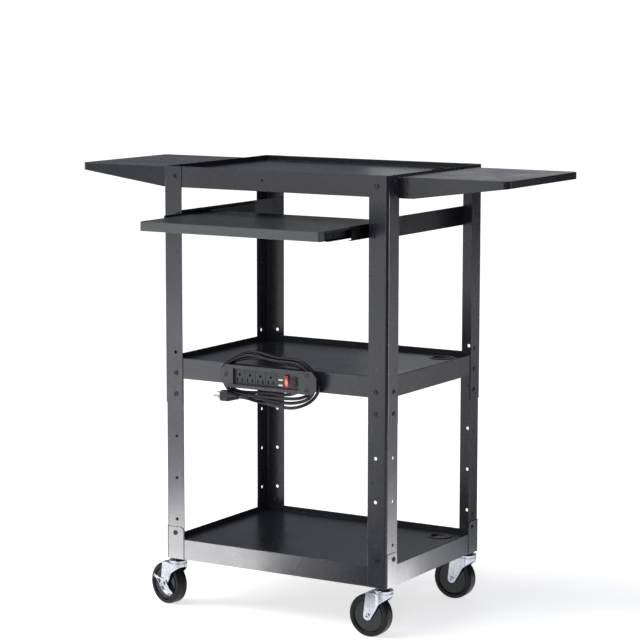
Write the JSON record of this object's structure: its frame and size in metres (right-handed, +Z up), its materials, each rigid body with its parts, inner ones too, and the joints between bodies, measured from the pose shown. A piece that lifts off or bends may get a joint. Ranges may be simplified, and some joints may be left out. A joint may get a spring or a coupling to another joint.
{
  "type": "audio visual cart",
  "caption": "Black steel rolling cart with lipped shelves on slotted angle legs, drop leaves at both sides, a slide-out keyboard tray, a front power strip with wound cord, and swivel casters",
  "frame": {"origin": "on the floor, at the centre of the four legs", "axes": "X to the right as seen from the front, Y to the back, Z up; the keyboard tray comes out along -Y"},
  "size_m": [1.162, 0.6511, 1.067],
  "materials": {
    "black_coat": "semi-gloss textured powder coat",
    "zinc_plate": "bright zinc plate",
    "black_bolts": "blackened",
    "black_slides": "black coat",
    "tyre_rubber": "matte",
    "hub_plastic": "matte",
    "black_plastic": "fine grain",
    "strip_plastic": "satin",
    "red_lens": "clear gloss",
    "white_plastic": "satin",
    "bright_ring": "polished",
    "cord_rubber": "satin",
    "pin_metal": "bright nickel plate",
    "nylon": "satin"
  },
  "bodies": {
    "cart": {"top_shelf": "black_coat", "middle_shelf": "black_coat", "bottom_shelf": "black_coat", "corner_posts": "black_coat", "caster_gussets": "black_coat", "caster_stems": "zinc_plate", "upper_leg_front_left": "black_coat", "upper_leg_front_right": "black_coat", "upper_leg_back_left": "black_coat", "upper_leg_back_right": "black_coat", "lower_leg_front_left": "black_coat", "lower_leg_front_right": "black_coat", "lower_leg_back_left": "black_coat", "lower_leg_back_right": "black_coat", "frame_bolts": "black_bolts", "rail_bolts": "black_bolts", "leaf_brackets": "black_coat", "leaf_pivot_bolts": "black_bolts", "slide_outer_members": "black_slides", "tray_rails": "black_coat", "strip_housing": "strip_plastic", "strip_plate": "black_coat", "strip_face": "strip_plastic", "strip_usb_ports": "white_plastic", "strip_breaker_ring": "bright_ring", "cord_winding": "cord_rubber", "cord_tail": "cord_rubber", "plug_body": "cord_rubber", "plug_blades": "pin_metal", "cable_grommets": "black_plastic"},
    "caster_front_left": {"caster_fork_front_left": "zinc_plate", "caster_axle_front_left": "zinc_plate"},
    "wheel_front_left": {"caster_tyre_front_left": "tyre_rubber", "caster_hub_front_left": "hub_plastic"},
    "brake_front_left": {"brake_lever_front_left": "zinc_plate"},
    "caster_front_right": {"caster_fork_front_right": "zinc_plate", "caster_axle_front_right": "zinc_plate"},
    "wheel_front_right": {"caster_tyre_front_right": "tyre_rubber", "caster_hub_front_right": "hub_plastic"},
    "caster_back_left": {"caster_fork_back_left": "zinc_plate", "caster_axle_back_left": "zinc_plate"},
    "wheel_back_left": {"caster_tyre_back_left": "tyre_rubber", "caster_hub_back_left": "hub_plastic"},
    "brake_back_left": {"brake_lever_back_left": "zinc_plate"},
    "caster_back_right": {"caster_fork_back_right": "zinc_plate", "caster_axle_back_right": "zinc_plate"},
    "wheel_back_right": {"caster_tyre_back_right": "tyre_rubber", "caster_hub_back_right": "hub_plastic"},
    "tray": {"keyboard_tray": "black_coat", "slide_inner_members": "black_slides"},
    "slide_left": {"slide_middle_left": "black_slides", "slide_cages_left": "nylon"},
    "slide_right": {"slide_middle_right": "black_slides", "slide_cages_right": "nylon"},
    "drop_leaf_left": {"leaf_left": "black_coat", "leaf_lock_studs_left": "black_bolts"},
    "drop_leaf_right": {"leaf_right": "black_coat", "leaf_lock_studs_right": "black_bolts"},
    "power_rocker": {"strip_rocker": "red_lens"},
    "breaker_button": {"strip_breaker_button": "black_plastic"}
  },
  "joints": [
    {"name": "caster_swivel_front_left", "type": "hinge", "parent": "cart", "child": "caster_front_left", "pos_m": [-0.286, -0.207, 0.1], "axis": [0, 0, 1], "continuous": true},
    {"name": "wheel_spin_front_left", "type": "hinge", "parent": "caster_front_left", "child": "wheel_front_left", "pos_m": [-0.31795, -0.19874, 0.0508], "axis": [-0.2504, -0.9681, 0], "continuous": true},
    {"name": "brake_press_front_left", "type": "hinge", "parent": "caster_front_left", "child": "brake_front_left", "pos_m": [-0.31795, -0.19874, 0.0508], "axis": [-0.2504, -0.9681, 0], "range_deg": [0, 30]},
    {"name": "caster_swivel_front_right", "type": "hinge", "parent": "cart", "child": "caster_front_right", "pos_m": [0.286, -0.207, 0.1], "axis": [0, 0, 1], "continuous": true},
    {"name": "wheel_spin_front_right", "type": "hinge", "parent": "caster_front_right", "child": "wheel_front_right", "pos_m": [0.253, -0.207, 0.0508], "axis": [0, -1, 0], "continuous": true},
    {"name": "caster_swivel_back_left", "type": "hinge", "parent": "cart", "child": "caster_back_left", "pos_m": [-0.286, 0.207, 0.1], "axis": [0, 0, 1], "continuous": true},
    {"name": "wheel_spin_back_left", "type": "hinge", "parent": "caster_back_left", "child": "wheel_back_left", "pos_m": [-0.319, 0.207, 0.0508], "axis": [0, -1, 0], "continuous": true},
    {"name": "brake_press_back_left", "type": "hinge", "parent": "caster_back_left", "child": "brake_back_left", "pos_m": [-0.319, 0.207, 0.0508], "axis": [0, -1, 0], "range_deg": [0, 30]},
    {"name": "caster_swivel_back_right", "type": "hinge", "parent": "cart", "child": "caster_back_right", "pos_m": [0.286, 0.207, 0.1], "axis": [0, 0, 1], "continuous": true},
    {"name": "wheel_spin_back_right", "type": "hinge", "parent": "caster_back_right", "child": "wheel_back_right", "pos_m": [0.253, 0.207, 0.0508], "axis": [0, -1, 0], "continuous": true},
    {"name": "tray_slide", "type": "slide", "parent": "cart", "child": "tray", "axis": [0, 1, 0], "range_m": [-0.06, 0.19]},
    {"name": "slide_middle_left_slide", "type": "slide", "parent": "cart", "child": "slide_left", "axis": [0, 1, 0], "range_m": [-0.03, 0.095]},
    {"name": "slide_middle_right_slide", "type": "slide", "parent": "cart", "child": "slide_right", "axis": [0, 1, 0], "range_m": [-0.03, 0.095]},
    {"name": "leaf_left_fold", "type": "hinge", "parent": "cart", "child": "drop_leaf_left", "pos_m": [-0.322, 0, 1.022], "axis": [0, -1, 0], "range_deg": [0, 90]},
    {"name": "leaf_right_fold", "type": "hinge", "parent": "cart", "child": "drop_leaf_right", "pos_m": [0.322, 0, 1.022], "axis": [0, 1, 0], "range_deg": [0, 90]},
    {"name": "power_rocker_tilt", "type": "hinge", "parent": "cart", "child": "power_rocker", "pos_m": [0.0495, -0.2465, 0.5821], "axis": [-1, 0, 0], "range_deg": [0, 16]},
    {"name": "breaker_button_press", "type": "slide", "parent": "cart", "child": "breaker_button", "axis": [0, 1, 0], "range_m": [0, 0.002], "stiffness_N_per_m": 500, "springref_m": -0.002}
  ],
  "couplings": [
    {"joint": "slide_middle_left_slide", "follows": "tray_slide", "ratio": 0.5},
    {"joint": "slide_middle_right_slide", "follows": "tray_slide", "ratio": 0.5}
  ]
}
